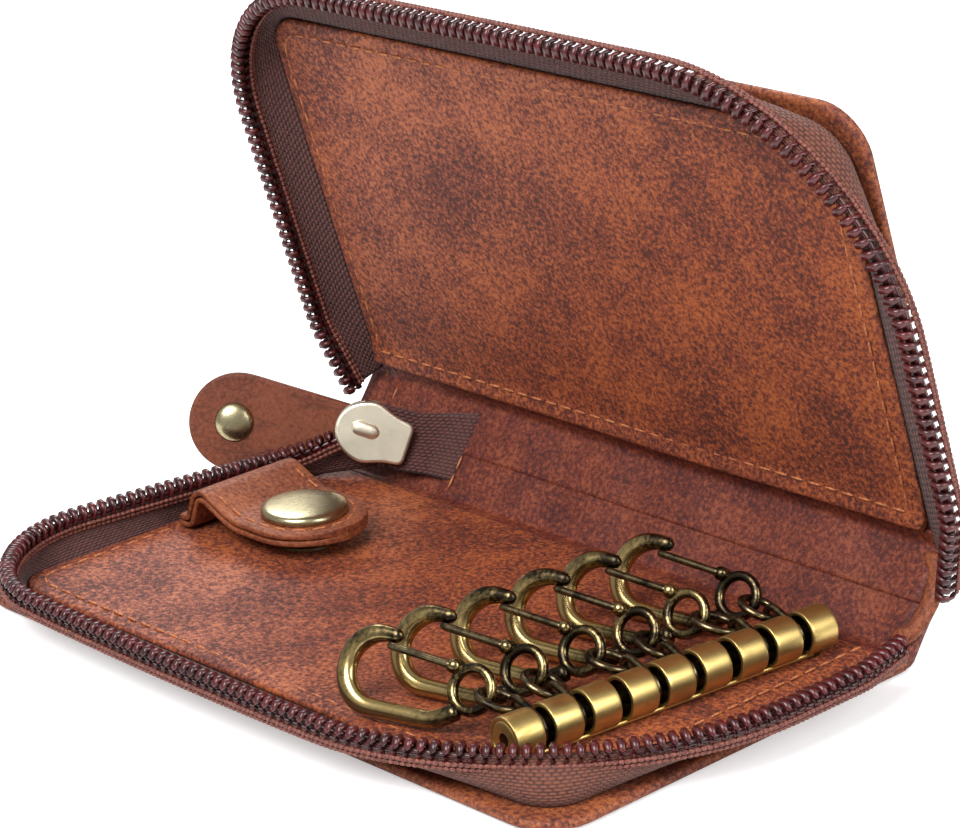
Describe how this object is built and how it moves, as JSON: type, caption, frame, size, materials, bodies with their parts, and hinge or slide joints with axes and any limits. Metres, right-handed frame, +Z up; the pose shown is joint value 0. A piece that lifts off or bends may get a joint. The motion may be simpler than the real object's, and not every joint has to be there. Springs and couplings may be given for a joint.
{
  "type": "zip-around key case",
  "caption": "Open zip-around leather key case with a slotted brass key bar, snap hooks, a snap strap and a leather pull tab.",
  "frame": {"origin": "middle of the lower cover's underside", "axes": "+X along the spine towards the key bar, +Y towards the spine, +Z up from the table"},
  "size_m": [0.1297, 0.0809, 0.0796],
  "materials": {
    "cover_leather": "matt waxed pull-up leather",
    "lining_leather": "matt mottled leather",
    "spine_leather": "matt reddish leather",
    "strap_leather": "waxed leather with raw edges",
    "zip_tape_fabric": "woven",
    "zip_coil_nylon": "glossy",
    "slider_brass": "pale brushed",
    "bar_brass": "satin",
    "hook_brass": "antique, dark in the hollows",
    "snap_brass": "aged, polished top"
  },
  "bodies": {
    "lower_half": {"lower_cover": "cover_leather", "lower_lining": "lining_leather", "lower_zip_tape": "zip_tape_fabric", "lower_zip_coil": "zip_coil_nylon", "key_bar_tube": "bar_brass", "key_bar_axle": "bar_brass", "key_bar_rivets": "bar_brass", "snap_stud": "snap_brass"},
    "spine": {"spine_leather": "spine_leather", "spine_lining": "spine_leather"},
    "upper_half": {"upper_cover": "cover_leather", "upper_lining": "lining_leather", "upper_zip_tape": "zip_tape_fabric", "upper_zip_coil": "zip_coil_nylon"},
    "zip_end": {"zip_end_tape": "zip_tape_fabric"},
    "slider": {"slider_body": "slider_brass", "slider_bail": "slider_brass"},
    "pull": {"pull_tab": "strap_leather", "pull_rivet": "snap_brass"},
    "strap": {"snap_strap": "strap_leather", "snap_cap": "snap_brass", "snap_socket": "snap_brass"},
    "loop_1": {"hook_loop_1": "hook_brass", "hook_ring_1": "hook_brass"},
    "hook_1": {"hook_body_1": "hook_brass"},
    "gate_1": {"hook_gate_1": "hook_brass"},
    "loop_2": {"hook_loop_2": "hook_brass", "hook_ring_2": "hook_brass"},
    "hook_2": {"hook_body_2": "hook_brass"},
    "gate_2": {"hook_gate_2": "hook_brass"},
    "loop_3": {"hook_loop_3": "hook_brass", "hook_ring_3": "hook_brass"},
    "hook_3": {"hook_body_3": "hook_brass"},
    "gate_3": {"hook_gate_3": "hook_brass"},
    "loop_4": {"hook_loop_4": "hook_brass", "hook_ring_4": "hook_brass"},
    "hook_4": {"hook_body_4": "hook_brass"},
    "gate_4": {"hook_gate_4": "hook_brass"},
    "loop_5": {"hook_loop_5": "hook_brass", "hook_ring_5": "hook_brass"},
    "hook_5": {"hook_body_5": "hook_brass"},
    "gate_5": {"hook_gate_5": "hook_brass"},
    "loop_6": {"hook_loop_6": "hook_brass", "hook_ring_6": "hook_brass"},
    "hook_6": {"hook_body_6": "hook_brass"},
    "gate_6": {"hook_gate_6": "hook_brass"}
  },
  "joints": [
    {"name": "lower_fold", "type": "hinge", "parent": "lower_half", "child": "spine", "pos_m": [0, 0.0334, 0.0008], "axis": [-1, 0, 0], "range_deg": [-36.65, 53.35]},
    {"name": "upper_fold", "type": "hinge", "parent": "spine", "child": "upper_half", "pos_m": [0, 0.04289, 0.01356], "axis": [-1, 0, 0], "range_deg": [-36.65, 53.35]},
    {"name": "zip_end_shift", "type": "slide", "parent": "lower_half", "child": "zip_end", "axis": [0, 0.9707, 0.2402], "range_m": [-0.0051, 0.0076]},
    {"name": "slider_slide", "type": "slide", "parent": "zip_end", "child": "slider", "axis": [-0.7091, -0.612, 0.3502], "range_m": [0, 0.004]},
    {"name": "pull_swing", "type": "hinge", "parent": "slider", "child": "pull", "pos_m": [-0.04636, 0.03293, 0.00874], "axis": [-0.0784, -0.4251, -0.9017], "range_deg": [0, 40]},
    {"name": "strap_lift", "type": "hinge", "parent": "lower_half", "child": "strap", "pos_m": [-0.0499, 0.0074, 0.0031], "axis": [0, -1, 0], "range_deg": [0, 44]},
    {"name": "loop_swing_1", "type": "hinge", "parent": "lower_half", "child": "loop_1", "pos_m": [0.04192, -0.0196, 0.0059], "axis": [0.1201, 0.9928, 0], "range_deg": [0, 100]},
    {"name": "hook_turn_1", "type": "hinge", "parent": "loop_1", "child": "hook_1", "pos_m": [0.03309, -0.02065, 0.00852], "axis": [-0.2256, 0.8361, -0.5], "range_deg": [0, 15]},
    {"name": "gate_open_1", "type": "hinge", "parent": "hook_1", "child": "gate_1", "pos_m": [0.02887, -0.02055, 0.0106], "axis": [0.2256, -0.8361, 0.5], "range_deg": [0, 22], "stiffness_Nm_per_rad": 0.002, "springref_deg": -5.73},
    {"name": "loop_swing_2", "type": "hinge", "parent": "lower_half", "child": "loop_2", "pos_m": [0.04263, -0.01374, 0.0059], "axis": [0.1201, 0.9928, 0], "range_deg": [0, 100]},
    {"name": "hook_turn_2", "type": "hinge", "parent": "loop_2", "child": "hook_2", "pos_m": [0.0338, -0.01244, 0.00856], "axis": [-0.2131, 0.8483, -0.4848], "range_deg": [0, 15]},
    {"name": "gate_open_2", "type": "hinge", "parent": "hook_2", "child": "gate_2", "pos_m": [0.02959, -0.0123, 0.01066], "axis": [0.2131, -0.8483, 0.4848], "range_deg": [0, 22], "stiffness_Nm_per_rad": 0.002, "springref_deg": -5.73},
    {"name": "loop_swing_3", "type": "hinge", "parent": "lower_half", "child": "loop_3", "pos_m": [0.04405, -0.00203, 0.0059], "axis": [0.1201, 0.9928, 0], "range_deg": [0, 100]},
    {"name": "hook_turn_3", "type": "hinge", "parent": "loop_3", "child": "hook_3", "pos_m": [0.03508, -0.00358, 0.00852], "axis": [-0.1963, 0.8435, -0.5], "range_deg": [0, 15]},
    {"name": "gate_open_3", "type": "hinge", "parent": "hook_3", "child": "gate_3", "pos_m": [0.03086, -0.00333, 0.0106], "axis": [0.1963, -0.8435, 0.5], "range_deg": [0, 22], "stiffness_Nm_per_rad": 0.002, "springref_deg": -5.73},
    {"name": "loop_swing_4", "type": "hinge", "parent": "lower_half", "child": "loop_4", "pos_m": [0.04475, 0.00383, 0.0059], "axis": [0.1201, 0.9928, 0], "range_deg": [0, 100]},
    {"name": "hook_turn_4", "type": "hinge", "parent": "loop_4", "child": "hook_4", "pos_m": [0.03622, 0.00508, 0.00856], "axis": [-0.1982, 0.8519, -0.4848], "range_deg": [0, 15]},
    {"name": "gate_open_4", "type": "hinge", "parent": "hook_4", "child": "gate_4", "pos_m": [0.03201, 0.00529, 0.01066], "axis": [0.1982, -0.8519, 0.4848], "range_deg": [0, 22], "stiffness_Nm_per_rad": 0.002, "springref_deg": -5.73},
    {"name": "loop_swing_5", "type": "hinge", "parent": "lower_half", "child": "loop_5", "pos_m": [0.04617, 0.01554, 0.0059], "axis": [0.1201, 0.9928, 0], "range_deg": [0, 100]},
    {"name": "hook_turn_5", "type": "hinge", "parent": "loop_5", "child": "hook_5", "pos_m": [0.03695, 0.01347, 0.00852], "axis": [-0.1815, 0.8468, -0.5], "range_deg": [0, 15]},
    {"name": "gate_open_5", "type": "hinge", "parent": "hook_5", "child": "gate_5", "pos_m": [0.03274, 0.01379, 0.0106], "axis": [0.1815, -0.8468, 0.5], "range_deg": [0, 22], "stiffness_Nm_per_rad": 0.002, "springref_deg": -5.73},
    {"name": "loop_swing_6", "type": "hinge", "parent": "lower_half", "child": "loop_6", "pos_m": [0.04688, 0.0214, 0.0059], "axis": [0.1201, 0.9928, 0], "range_deg": [0, 100]},
    {"name": "hook_turn_6", "type": "hinge", "parent": "loop_6", "child": "hook_6", "pos_m": [0.03817, 0.02192, 0.00856], "axis": [-0.1684, 0.8583, -0.4848], "range_deg": [0, 15]},
    {"name": "gate_open_6", "type": "hinge", "parent": "hook_6", "child": "gate_6", "pos_m": [0.03398, 0.02228, 0.01066], "axis": [0.1684, -0.8583, 0.4848], "range_deg": [0, 22], "stiffness_Nm_per_rad": 0.002, "springref_deg": -5.73}
  ],
  "couplings": [
    {"joint": "upper_fold", "follows": "lower_fold", "ratio": 1},
    {"joint": "zip_end_shift", "follows": "lower_fold", "m_per_rad": 0.007817}
  ]
}
